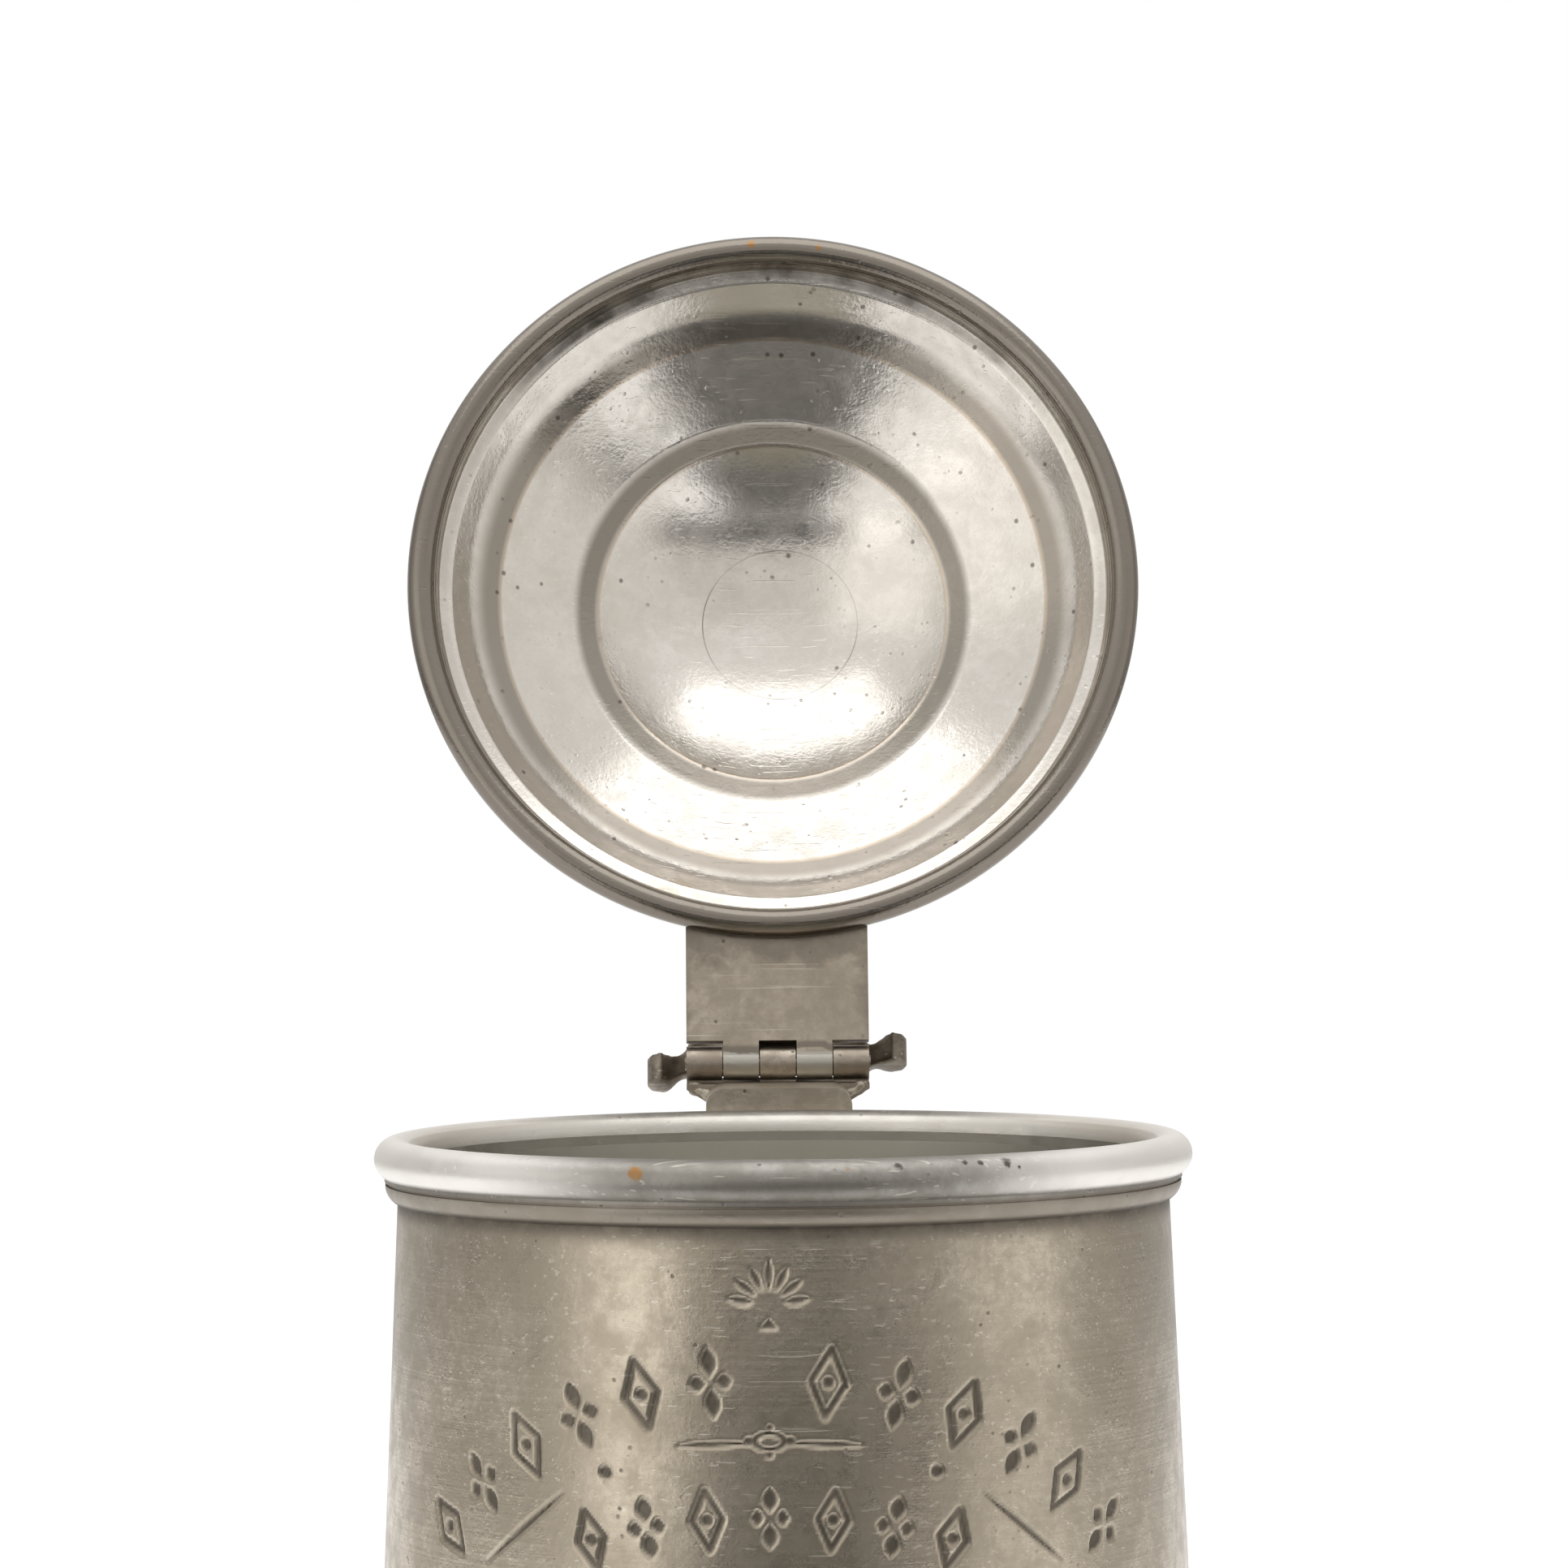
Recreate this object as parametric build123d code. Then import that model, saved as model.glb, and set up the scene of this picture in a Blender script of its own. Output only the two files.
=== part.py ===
from build123d import *
import os
from math import cos, radians, sin, tan

# Lidded quart tankard in pewter, drawn with its lid open on its stop.
# Millimetres, +Z up. The origin is the centre of the base plane, Z is the axis of the
# drum, the engraved front faces -Y and the handle and hinge are on the +Y side.

# ---- drum ----
lip_height = 143.0        # base plane to the top of the lip
drum_radius = 51.5        # outside of the drum, carried up to the lip plane
drum_taper = 2.5          # degrees, the drum widens downwards
wall = 2.2                # drum wall

# ---- lip moulding ----
lip_overhang = 3.5        # bead stands out this far from the drum
lip_seat = 4.2            # the drum wall ends this far below the lip top
lip_depth = 8.6           # lower edge of the moulding below the lip top
neck_proud = 2.1          # neck under the bead, out from the drum
band_height = 0.5         # flat band under the bead
groove_height = 0.4       # cut line between band and ovolo
groove_depth = 0.45
ovolo_proud = 2.0         # top of the ovolo, out from the drum
ovolo_edge = 0.35         # lower edge of the ovolo, out from the drum

# ---- foot ----
foot_spread = 4.3         # plinth stands out this far from the drum
foot_height = 15.0        # base plane to the top of the foot collar
seat_height = 12.0        # base plane to the flange that the drum stands on
flange_thickness = 2.5
plinth_height = 2.4
foot_step = 1.3           # plinth to the fillets above it
torus_height = 3.6
torus_proud = 1.1
collar_thickness = 1.7    # collar round the drum, at the cavetto
astragal_height = 2.0
foot_wall = 2.8           # outer wall of the hollow foot
skirt_wall = 2.6          # inner skirt that holds the glass
skirt_lift = 1.5          # the skirt stays clear of the table
foot_hollow = 8.0         # height of the hollow between skirt and outer wall

# ---- glass bottom ----
window_radius = 46.0      # clear opening of the flange
glass_lap = 4.0           # glass under the flange
glass_thickness = 3.5
glass_clearance = 0.3     # glass to skirt
bedding_thickness = 0.8   # putty between flange and glass
bezel_thickness = 2.0     # ring under the glass

# ---- hinge ----
hinge_reach = 18.6        # hinge axis behind the lip bead
hinge_lift = 0.4          # lid's knuckles above the arm
hinge_width = 27.0        # all five knuckles
knuckle_count = 5
knuckle_radius = 2.5
knuckle_gap = 0.16        # side gap between knuckles
pin_radius = 1.0
pin_clearance = 0.05      # running fit in the lid's knuckles
pin_proud = 0.25          # each peened end
swing_clearance = 0.4     # strap notch to the handle's knuckles
bracket_length = 7.0
bracket_depth = 2.6       # let into the handle's arm
solder_drop = 3.4         # solder under the ends of the bracket

# ---- handle ----
arm_rise = 2.8            # top of the arm above the lip top
arm_width = 21.2
arm_thickness = 9.0
arm_corner = 2.6          # rounded edges of the handle's section
arm_gap = 0.4             # arm to the closed lid
grip_width = 19.0
grip_thickness = 8.6
shoulder_reach = 14.0     # the arm runs straight this far behind the hinge axis
grip_reach = 36.0         # middle of the grip behind the hinge axis
grip_height = 108.0       # where the grip stands out furthest
calf_out = 0.66           # bend below the grip, as shares of the way to the grip
calf_up = 0.36
foot_of_handle_width = 13.0
foot_of_handle_thickness = 7.2
foot_of_handle_height = 44.0
finger_gap = 9.0          # handle to drum at the strut
tail_width = 9.0
tail_thickness = 6.0
tail_reach = 8.0          # tail end, out from the foot of the handle
tail_drop = 17.0          # tail end, below the foot of the handle
strut_width = 9.0
strut_height = 9.0
strut_pad = 5.0           # pad on the drum is this much larger
terminal_radius = 4.6
terminal_neck = 1.4       # disc between tail and ball

# ---- lid ----
lid_overhang = 0.2        # lid bead outside the lip bead
lid_bead = 2.1            # radius of the lid's bead
lid_gap = 0.3             # closed lid above the lip
lid_wall = 1.9
open_angle = 105.0        # closed to the stop
strap_thickness = 1.9
strap_width = 27.0
strap_gap = 0.5           # closed strap above the arm
strap_tongue = 9.0        # tongue of the strap up the lid's side

# ---- thumbpiece ----
thumb_span = 39.0
thumb_height = 17.5       # above the hinge axis
thumb_foot = 12.0         # width on the strap
thumb_waist = 9.0
thumb_thickness = 4.6
thumb_set_forward = 3.0   # middle of the wings in front of the hinge axis
thumb_wing = 6.4          # depth of a wing, down to its tip
stop_gap = 0.25           # thumbpiece to the arm when the lid is open

lip_radius = drum_radius + lip_overhang
hinge_y = lip_radius + hinge_reach
arm_top = lip_height + arm_rise
hinge_z = arm_top + hinge_lift + knuckle_radius
hinge_axis = Axis((0, hinge_y, hinge_z), (1, 0, 0))
lid_radius = lip_radius + lid_overhang
knuckle_width = (hinge_width - (knuckle_count - 1) * knuckle_gap) / knuckle_count


def drum_outside(height):
    """Outer radius of the drum at a height above the base."""
    return drum_radius + tan(radians(drum_taper)) * (lip_height - height)


def face_of(*edges):
    """Flat face from edges that run end to end."""
    outline = edges[0]
    for edge in edges[1:]:
        outline = outline + edge
    return make_face(outline)


def turned(*edges):
    """Solid turned about the drum's axis from edges in radius and height."""
    return revolve(Plane.XZ * face_of(*edges), Axis.Z)


def across(face, width):
    """Face drawn in Y and Z, extruded to both sides of the middle plane."""
    return extrude(Plane.YZ * face, width / 2, both=True)


def open_lid(piece):
    """Turn a piece of the closed lid to its open place."""
    return piece.rotate(hinge_axis, -open_angle)


# ---- lip moulding and drum ----
bead = (wall + lip_overhang) / 2
bead_middle = (lip_radius - bead, lip_height - bead)
neck_radius = drum_radius + neck_proud
neck_fall = (bead ** 2 - (neck_radius - bead_middle[0]) ** 2) ** 0.5
neck = (neck_radius, bead_middle[1] - neck_fall)
band_foot = (neck_radius, neck[1] - band_height)
ovolo_top = band_foot[1] - groove_height
lip_foot = lip_height - lip_depth
ovolo_start = (drum_radius + ovolo_proud, ovolo_top)
ovolo_end = (drum_outside(lip_foot) + ovolo_edge, lip_foot)
ovolo_bulge = 0.28
drum_end = lip_height - lip_seat


def lip_outside():
    """Edges of the lip moulding from the top of its bead down to its lower edge."""
    bead_arc = ThreePointArc(
        (bead_middle[0], lip_height), (lip_radius, bead_middle[1]), neck)
    steps = Polyline(
        neck, band_foot, (neck_radius - groove_depth, band_foot[1]),
        (neck_radius - groove_depth, ovolo_top), ovolo_start)
    middle = (
        (ovolo_start[0] + ovolo_end[0]) / 2 + ovolo_bulge,
        (ovolo_start[1] + ovolo_end[1]) / 2 - ovolo_bulge)
    ovolo = ThreePointArc(ovolo_start, middle, ovolo_end)
    return [bead_arc, steps, ovolo]


def lip_moulding():
    """Bead, band and ovolo, capping the drum wall."""
    inner_edge = (lip_radius - 2 * bead, bead_middle[1])
    inner_arc = ThreePointArc(
        inner_edge,
        (bead_middle[0] - bead * cos(radians(45)), bead_middle[1] + bead * sin(radians(45))),
        (bead_middle[0], lip_height))
    inside = Polyline(
        ovolo_end, (drum_outside(lip_foot), lip_foot), (drum_outside(drum_end), drum_end),
        (drum_outside(drum_end) - wall, drum_end), inner_edge)
    return turned(inner_arc, *lip_outside(), inside)


def drum():
    """Tapered tube between the foot's flange and the lip moulding."""
    bottom = drum_outside(seat_height)
    top = drum_outside(drum_end)
    return turned(Polyline(
        (bottom - wall, seat_height), (bottom, seat_height), (top, drum_end),
        (top - wall, drum_end), close=True))


def vessel_block():
    """The drum and lip filled in, to shape what is soldered against them."""
    down_axis = Polyline(
        ovolo_end, (drum_outside(lip_foot), lip_foot), (drum_outside(0), 0), (0, 0),
        (0, lip_height), (bead_middle[0], lip_height))
    return turned(*lip_outside(), down_axis)


# ---- foot and glass ----
glass_radius = window_radius + glass_lap
recess_radius = glass_radius + glass_clearance
flange_bottom = seat_height - flange_thickness
glass_top = flange_bottom - bedding_thickness
bezel_top = glass_top - glass_thickness


def foot():
    """Hollow foot casting: plinth, torus, cavetto, astragal, flange and skirt."""
    plinth = drum_outside(seat_height) + foot_spread
    fillet = plinth - foot_step
    torus_start = plinth_height + 0.5
    torus_end = torus_start + torus_height
    collar = drum_outside(foot_height) + collar_thickness
    astragal_start = foot_height - astragal_height - 0.3
    outside = Polyline(
        (plinth - foot_wall, 0), (plinth - 0.5, 0), (plinth, 0.5), (plinth, plinth_height),
        (fillet, plinth_height), (fillet, torus_start))
    torus = ThreePointArc(
        (fillet, torus_start), (fillet + torus_proud, (torus_start + torus_end) / 2),
        (fillet, torus_end))
    cavetto = ThreePointArc(
        (fillet, torus_end), (collar + 0.35, (torus_end + astragal_start) / 2 + 0.4),
        (collar, astragal_start))
    astragal = ThreePointArc(
        (collar, astragal_start), (collar + 0.9, astragal_start + astragal_height / 2),
        (collar, astragal_start + astragal_height))
    inside = Polyline(
        (collar, astragal_start + astragal_height),
        (collar - 0.3, foot_height), (drum_outside(foot_height), foot_height),
        (drum_outside(seat_height), seat_height), (window_radius, seat_height),
        (window_radius, flange_bottom), (recess_radius, flange_bottom),
        (recess_radius, skirt_lift), (recess_radius + skirt_wall, skirt_lift),
        (recess_radius + skirt_wall, foot_hollow), (plinth - foot_wall, foot_hollow),
        (plinth - foot_wall, 0))
    return turned(outside, torus, cavetto, astragal, inside)


def ring(inner, outer, bottom, top):
    """Plain turned ring, or a disc where inner is 0."""
    return turned(Polyline(
        (inner, bottom), (outer, bottom), (outer, top), (inner, top), close=True))


# ---- hinge ----
def knuckle(index, bore):
    """Barrel, bore and middle of one knuckle, counted from -X."""
    middle = -hinge_width / 2 + knuckle_width / 2 + index * (knuckle_width + knuckle_gap)
    place = Plane((middle, hinge_y, hinge_z), z_dir=(1, 0, 0))
    tube = place * Cylinder(knuckle_radius, knuckle_width)
    return tube, place * Cylinder(bore, knuckle_width), middle


def hinge_bracket():
    """Saddle let into the arm, with the three fixed knuckles on webs behind the axis."""
    half = hinge_width / 2
    taper = (hinge_width - arm_width) / 2
    saddle_outline = Polyline(
        (-half + taper, arm_top - bracket_depth), (half - taper, arm_top - bracket_depth),
        (half, arm_top - 0.8), (half, arm_top), (-half, arm_top), (-half, arm_top - 0.8),
        close=True)
    saddle_back = hinge_y + knuckle_radius + 1.0
    bracket = extrude(
        Plane((0, saddle_back, 0), x_dir=(1, 0, 0), z_dir=(0, -1, 0)) * make_face(saddle_outline),
        bracket_length)
    web_foot = arm_top - hinge_z
    web = face_of(Polyline(
        (0.2, web_foot), (knuckle_radius + 0.8, web_foot), (knuckle_radius, 0.0), (0.2, 0.0),
        close=True))
    for index in range(0, knuckle_count, 2):
        tube, bore, middle = knuckle(index, pin_radius)
        place = Plane((middle, hinge_y, hinge_z), x_dir=(0, 1, 0), z_dir=(1, 0, 0))
        bracket = bracket + tube + extrude(place * web, knuckle_width / 2, both=True) - bore
    return bracket


def hinge_pin():
    """Pin through all five knuckles."""
    return Plane((0, hinge_y, hinge_z), z_dir=(1, 0, 0)) * Cylinder(
        pin_radius, hinge_width + 2 * pin_proud)


def hinge_solder(handle, bracket):
    """A mass of solder under each end of the bracket, against the arm's sides."""
    saddle_back = hinge_y + knuckle_radius + 1.0
    half = hinge_width / 2 - 0.3
    top = arm_top - 0.8
    wedge = Polyline(
        (0, top), (half, top), (half, top - 0.6), (arm_width / 2, top - solder_drop),
        (0, top - solder_drop), close=True)
    right = extrude(
        Plane((0, saddle_back - 0.5, 0), x_dir=(1, 0, 0), z_dir=(0, -1, 0)) * make_face(wedge),
        bracket_length + 1.0)
    both = right + mirror(right, Plane.YZ)
    return both - handle - bracket


# ---- handle ----
def handle_path():
    """Line of the handle's middle: along the arm, round the grip and out to the tail."""
    arm_middle = arm_top - arm_thickness / 2
    start = (drum_radius - wall - 1.0, arm_middle)
    shoulder = (hinge_y + shoulder_reach, arm_middle)
    grip = (hinge_y + grip_reach, grip_height)
    lower = (
        drum_outside(foot_of_handle_height) + finger_gap + foot_of_handle_thickness / 2,
        foot_of_handle_height)
    calf = (
        lower[0] + calf_out * (grip[0] - lower[0]), lower[1] + calf_up * (grip[1] - lower[1]))
    tail = (lower[0] + tail_reach, lower[1] - tail_drop)
    arm = Line(start, shoulder)
    bend = Spline(
        shoulder, grip, calf, lower, tail,
        tangents=[(1.0, 0.0), (0.0, -1.0), (-0.66, -0.75), (-0.5, -0.87), (0.97, -0.24)])
    return Plane.YZ * Wire([arm, bend]), Plane.YZ * bend


def handle_section(place, width, thickness):
    """Rounded rectangle across the handle."""
    corner = min(arm_corner, 0.42 * thickness)
    return place * RectangleRounded(width, thickness, corner)


def handle():
    """One casting from the lip to the tail."""
    path, bend = handle_path()
    bend_start = path.length - bend.length
    stations = [
        (0.0, arm_width, arm_thickness),
        (bend_start, arm_width, arm_thickness),
        (bend_start + 0.28 * bend.length, grip_width, grip_thickness),
        (bend_start + 0.52 * bend.length, (grip_width + foot_of_handle_width) / 2, grip_thickness),
        (bend_start + 0.80 * bend.length, foot_of_handle_width, foot_of_handle_thickness),
        (path.length, tail_width, tail_thickness)]
    sections = []
    for distance, width, thickness in stations:
        share = distance / path.length
        place = Plane(path @ share, x_dir=(1, 0, 0), z_dir=path % share)
        sections.append(handle_section(place, width, thickness))
    casting = sweep(sections, path, multisection=True)
    lid_room = Pos(0, 0, lip_height - 0.5 + 50) * Cylinder(lid_radius + arm_gap, 100)
    return casting - vessel_block() - lid_room - hinge_bracket()


def handle_strut(grip):
    """Short stub from the drum to the foot of the handle."""
    height = foot_of_handle_height
    near = drum_outside(height) - wall
    far = drum_outside(height) + finger_gap + 1.0
    pad = Plane((0, near, height), x_dir=(1, 0, 0), z_dir=(0, 1, 0)) * RectangleRounded(
        strut_width + strut_pad, strut_height + strut_pad, 3.0)
    end = Plane((0, far, height), x_dir=(1, 0, 0), z_dir=(0, 1, 0)) * RectangleRounded(
        strut_width, strut_height, 3.0)
    return loft([pad, end]) - vessel_block() - grip


def handle_terminal():
    """Disc and ball on the end of the tail."""
    path, _ = handle_path()
    place = Plane(path @ 1, x_dir=(1, 0, 0), z_dir=path % 1)
    disc = place * Pos(0, 0, terminal_neck / 2) * Cylinder(terminal_radius * 0.8, terminal_neck)
    sink = terminal_radius * 0.35
    ball = place * Pos(0, 0, terminal_neck + terminal_radius - sink) * Sphere(terminal_radius)
    behind = place * Pos(0, 0, -20) * Box(60, 60, 40)
    return disc + (ball - behind)


# ---- lid, drawn closed ----
lid_plane = lip_height + lid_gap + lid_bead      # height of the lid bead's middle
lid_bead_middle = lid_radius - lid_bead
dome_rise = 24.6          # inside of the dome above the lid plane
slope_bulge = 0.2         # the slope between cove and ledge is slightly domed

# the lid's profile as offsets from the bead's middle: radius, and height above it
seat_inside = [(-2.6, 1.9), (-4.4, 2.5)]
cove_inside = [(-4.4, 2.5), (-7.6, 6.1), (-11.5, 8.2)]
ledge_inside = [(-22.4, 14.8), (-26.2, 15.8)]
seat_outside = [(-2.0, 3.7), (-3.3, 4.1)]
cove_outside = [(-3.3, 4.1), (-6.4, 7.6), (-10.6, 9.9)]
ledge_outside = [(-21.6, 16.6), (-25.4, 17.6)]


def on_lid(offsets):
    """Points of the lid's profile in radius and height."""
    return [(lid_bead_middle + out, lid_plane + rise) for out, rise in offsets]


def on_lid_bead(angle):
    """A point of the lid's bead, at an angle in degrees from straight outwards."""
    return (
        lid_bead_middle + lid_bead * cos(radians(angle)),
        lid_plane + lid_bead * sin(radians(angle)))


def dome(edge, top):
    """Arc from a point of the profile to the top of a dome centred on the axis."""
    rise = top - edge[1]
    radius = (edge[0] ** 2 + rise ** 2) / (2 * rise)
    middle = radius - (radius ** 2 - (edge[0] / 2) ** 2) ** 0.5
    return ThreePointArc(edge, (edge[0] / 2, top - middle), (0, top))


def slope(start, end):
    """Slightly domed stretch of the lid between its cove and its ledge."""
    middle = ((start[0] + end[0]) / 2, (start[1] + end[1]) / 2 + slope_bulge)
    return ThreePointArc(start, middle, end)


def lid_outside():
    """Edges of the lid's outside, from its bead up to the middle of the dome."""
    return [
        Polyline(on_lid_bead(115), *on_lid(seat_outside)),
        Spline(*on_lid(cove_outside)),
        slope(on_lid(cove_outside)[-1], on_lid(ledge_outside)[0]),
        Line(*on_lid(ledge_outside)),
        dome(on_lid(ledge_outside)[-1], lid_plane + dome_rise + lid_wall)]


def lid_cover():
    """Stepped double dome with a bead round its edge."""
    inside_top = lid_plane + dome_rise
    return turned(
        ThreePointArc(on_lid_bead(168), on_lid_bead(-38), on_lid_bead(115)),
        *lid_outside(),
        Line((0, inside_top + lid_wall), (0, inside_top)),
        dome(on_lid(ledge_inside)[-1], inside_top),
        Line(*on_lid(ledge_inside)),
        slope(on_lid(ledge_inside)[0], on_lid(cove_inside)[-1]),
        Spline(*on_lid(cove_inside)),
        Polyline(*reversed(on_lid(seat_inside)), on_lid_bead(168)))


def lid_block():
    """The lid filled in, to shape what is soldered on it."""
    return turned(
        ThreePointArc(on_lid_bead(-90), on_lid_bead(12), on_lid_bead(115)),
        *lid_outside(),
        Polyline(
            (0, lid_plane + dome_rise + lid_wall), (0, lid_plane - lid_bead), on_lid_bead(-90)))


def lid_strap():
    """Flat strap from the lid to the hinge, with a tongue up the lid's side."""
    bottom = arm_top + strap_gap
    top = bottom + strap_thickness
    flange, shelf = on_lid(seat_outside)
    cove_middle, cove_top = on_lid(cove_outside)[1:]
    plate = across(make_face(Polyline(
        (shelf[0], bottom), (hinge_y, bottom), (hinge_y, top), (shelf[0], top),
        close=True)), strap_width)
    tongue = turned(Polyline(
        (shelf[0], bottom), (flange[0] + strap_thickness, bottom),
        (flange[0] + strap_thickness, flange[1] - 0.5),
        (flange[0] + 0.9, flange[1] + 0.7),
        (shelf[0] + 0.9, shelf[1] + 0.8),
        (cove_middle[0] + 0.7, cove_middle[1] + 0.9),
        (cove_top[0] + 0.5, cove_top[1] + 1.0),
        (cove_top[0] - 2.0, cove_top[1] + 2.4), (cove_top[0] - 2.0, cove_top[1] - 4.0),
        close=True))
    plan = Pos(0, flange[0], lip_height) * (
        Pos(0, 20 - 1.0, 0) * Box(strap_width, 40, 100)
        + Pos(0, -1.0, 0) * Cylinder(strap_tongue, 100))
    strap = plate + (tongue & plan) - lid_block()
    for index in range(knuckle_count):
        tube, bore, middle = knuckle(index, pin_radius + pin_clearance)
        if index % 2 == 1:
            strap = strap + tube - bore
        else:
            reach = knuckle_radius + swing_clearance
            strap = strap - Pos(middle, hinge_y, hinge_z) * Box(
                knuckle_width + 2 * knuckle_gap, 2 * reach, 2 * reach)
    return strap


def thumbpiece():
    """Winged thumbpiece on the strap, rising over the knuckles, with drooping tips."""
    foot_z = arm_top + strap_gap + strap_thickness
    foot_back = hinge_y - knuckle_radius - swing_clearance
    waist = (thumb_waist / 2, hinge_z + knuckle_radius + 2.5)
    wing_top = hinge_z + thumb_height - 2.4
    wing_low = wing_top - thumb_wing
    tip = thumb_span / 2
    under = [
        (thumb_foot / 2, foot_z), waist, (0.44 * tip, wing_low + 1.9),
        (0.69 * tip, wing_low + 2.3), (tip - 2.2, wing_low)]
    end = [(tip - 2.2, wing_low), (tip, wing_low + 0.45 * thumb_wing), (tip - 2.4, wing_top - 0.4)]
    top = [
        (tip - 2.4, wing_top - 0.4), (0.5 * tip, wing_top), (0, hinge_z + thumb_height),
        (-0.5 * tip, wing_top), (2.4 - tip, wing_top - 0.4)]
    other_under = [(-x, z) for x, z in reversed(under)]
    other_end = [(-x, z) for x, z in reversed(end)]
    front = face_of(
        Line(other_under[-1], under[0]), Spline(*under), ThreePointArc(*end), Spline(*top),
        ThreePointArc(*other_end), Spline(*other_under))
    plate = extrude(Plane((0, hinge_y, 0), x_dir=(1, 0, 0), z_dir=(0, -1, 0)) * front, 30, both=True)
    wing_back = hinge_y - thumb_set_forward + thumb_thickness / 2
    wing_front = wing_back - thumb_thickness
    wing_middle = wing_low + thumb_wing / 2
    back = Spline(
        (foot_back, foot_z), (foot_back + 0.1, hinge_z + knuckle_radius), (wing_back, wing_middle),
        (wing_back - 0.3, hinge_z + thumb_height))
    face = Spline(
        (wing_front - 0.5, hinge_z + thumb_height), (wing_front, wing_middle),
        (foot_back - thumb_thickness + 0.5, hinge_z + knuckle_radius),
        (foot_back - thumb_thickness, foot_z))
    side = across(
        face_of(back, Line(back @ 1, face @ 0), face, Line(face @ 1, back @ 0)), thumb_span + 2)
    arm_room = Pos(0, hinge_y + 30, arm_top + stop_gap - 10) * Box(arm_width + 1.0, 60, 20)
    return (plate & side) - arm_room.rotate(hinge_axis, open_angle)


# ---- the pieces, by name ----
handle_casting = handle()
bracket_casting = hinge_bracket()
pieces = {
    "drum": drum(),
    "lip_moulding": lip_moulding(),
    "foot": foot(),
    "glass_bottom": ring(0, glass_radius, bezel_top, glass_top),
    "glass_bedding": ring(window_radius, recess_radius, glass_top, flange_bottom),
    "glass_bezel": ring(window_radius, recess_radius, bezel_top - bezel_thickness, bezel_top),
    "handle": handle_casting,
    "handle_strut": handle_strut(handle_casting),
    "handle_terminal": handle_terminal(),
    "hinge_bracket": bracket_casting,
    "hinge_solder": hinge_solder(handle_casting, bracket_casting),
    "hinge_pin": hinge_pin(),
    "lid_cover": open_lid(lid_cover()),
    "lid_strap": open_lid(lid_strap()),
    "thumbpiece": open_lid(thumbpiece()),
}

os.makedirs("parts", exist_ok=True)
for name, piece in pieces.items():
    export_step(piece, f"parts/{name}.step")
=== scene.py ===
import math

import bmesh
import bpy
import numpy as np
from mathutils import Matrix, Vector


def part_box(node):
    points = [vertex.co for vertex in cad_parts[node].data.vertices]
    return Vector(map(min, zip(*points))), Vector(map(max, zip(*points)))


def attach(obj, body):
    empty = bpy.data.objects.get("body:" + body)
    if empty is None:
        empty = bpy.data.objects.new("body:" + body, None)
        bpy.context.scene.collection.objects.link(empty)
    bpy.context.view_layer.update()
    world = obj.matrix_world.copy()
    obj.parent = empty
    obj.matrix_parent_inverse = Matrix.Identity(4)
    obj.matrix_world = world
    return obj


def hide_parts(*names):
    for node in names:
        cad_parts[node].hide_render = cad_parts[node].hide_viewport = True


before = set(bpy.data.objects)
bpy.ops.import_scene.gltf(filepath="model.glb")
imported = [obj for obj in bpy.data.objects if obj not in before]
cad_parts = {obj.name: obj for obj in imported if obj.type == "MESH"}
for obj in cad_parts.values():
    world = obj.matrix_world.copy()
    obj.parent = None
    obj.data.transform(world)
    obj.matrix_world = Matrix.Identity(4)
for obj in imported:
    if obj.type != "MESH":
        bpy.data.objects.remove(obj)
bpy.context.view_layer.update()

MM = 0.001
drum_low, drum_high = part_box("drum")
lip_low, lip_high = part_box("lip_moulding")
foot_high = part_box("foot")[1]
pin_low, pin_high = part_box("hinge_pin")
hinge_centre = (pin_low + pin_high) / 2

# ---- sizes that the finer meshes share with the CAD ----
TAPER = math.tan(math.radians(2.5))
WALL = 2.2 * MM
LID_OPEN = math.radians(105)
LID_PLANE = lip_high.z + 2.4 * MM      # middle of the closed lid's bead

# ---- textures: how often each repeats in a metre ----
CLOUDS, MOTTLE, FINE, GRAIN = 34.0, 230.0, 820.0, 1900.0
PIT_CELLS, RUST_SPOTS = 620.0, 95.0
LATHE_LINES = (9.0, 9.0, 1500.0)
SCRATCH = (26.0, 1700.0, 1700.0)
# Turned after stretching, so each set stays level and only meets the noise elsewhere.
SCRATCH_TURNS = ((0.5, 0.3, 0.4), (-0.6, 0.9, -0.8), (1.1, -0.4, 1.9))
RELIEF = 0.11 * MM                     # deepest bump in the metal


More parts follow.
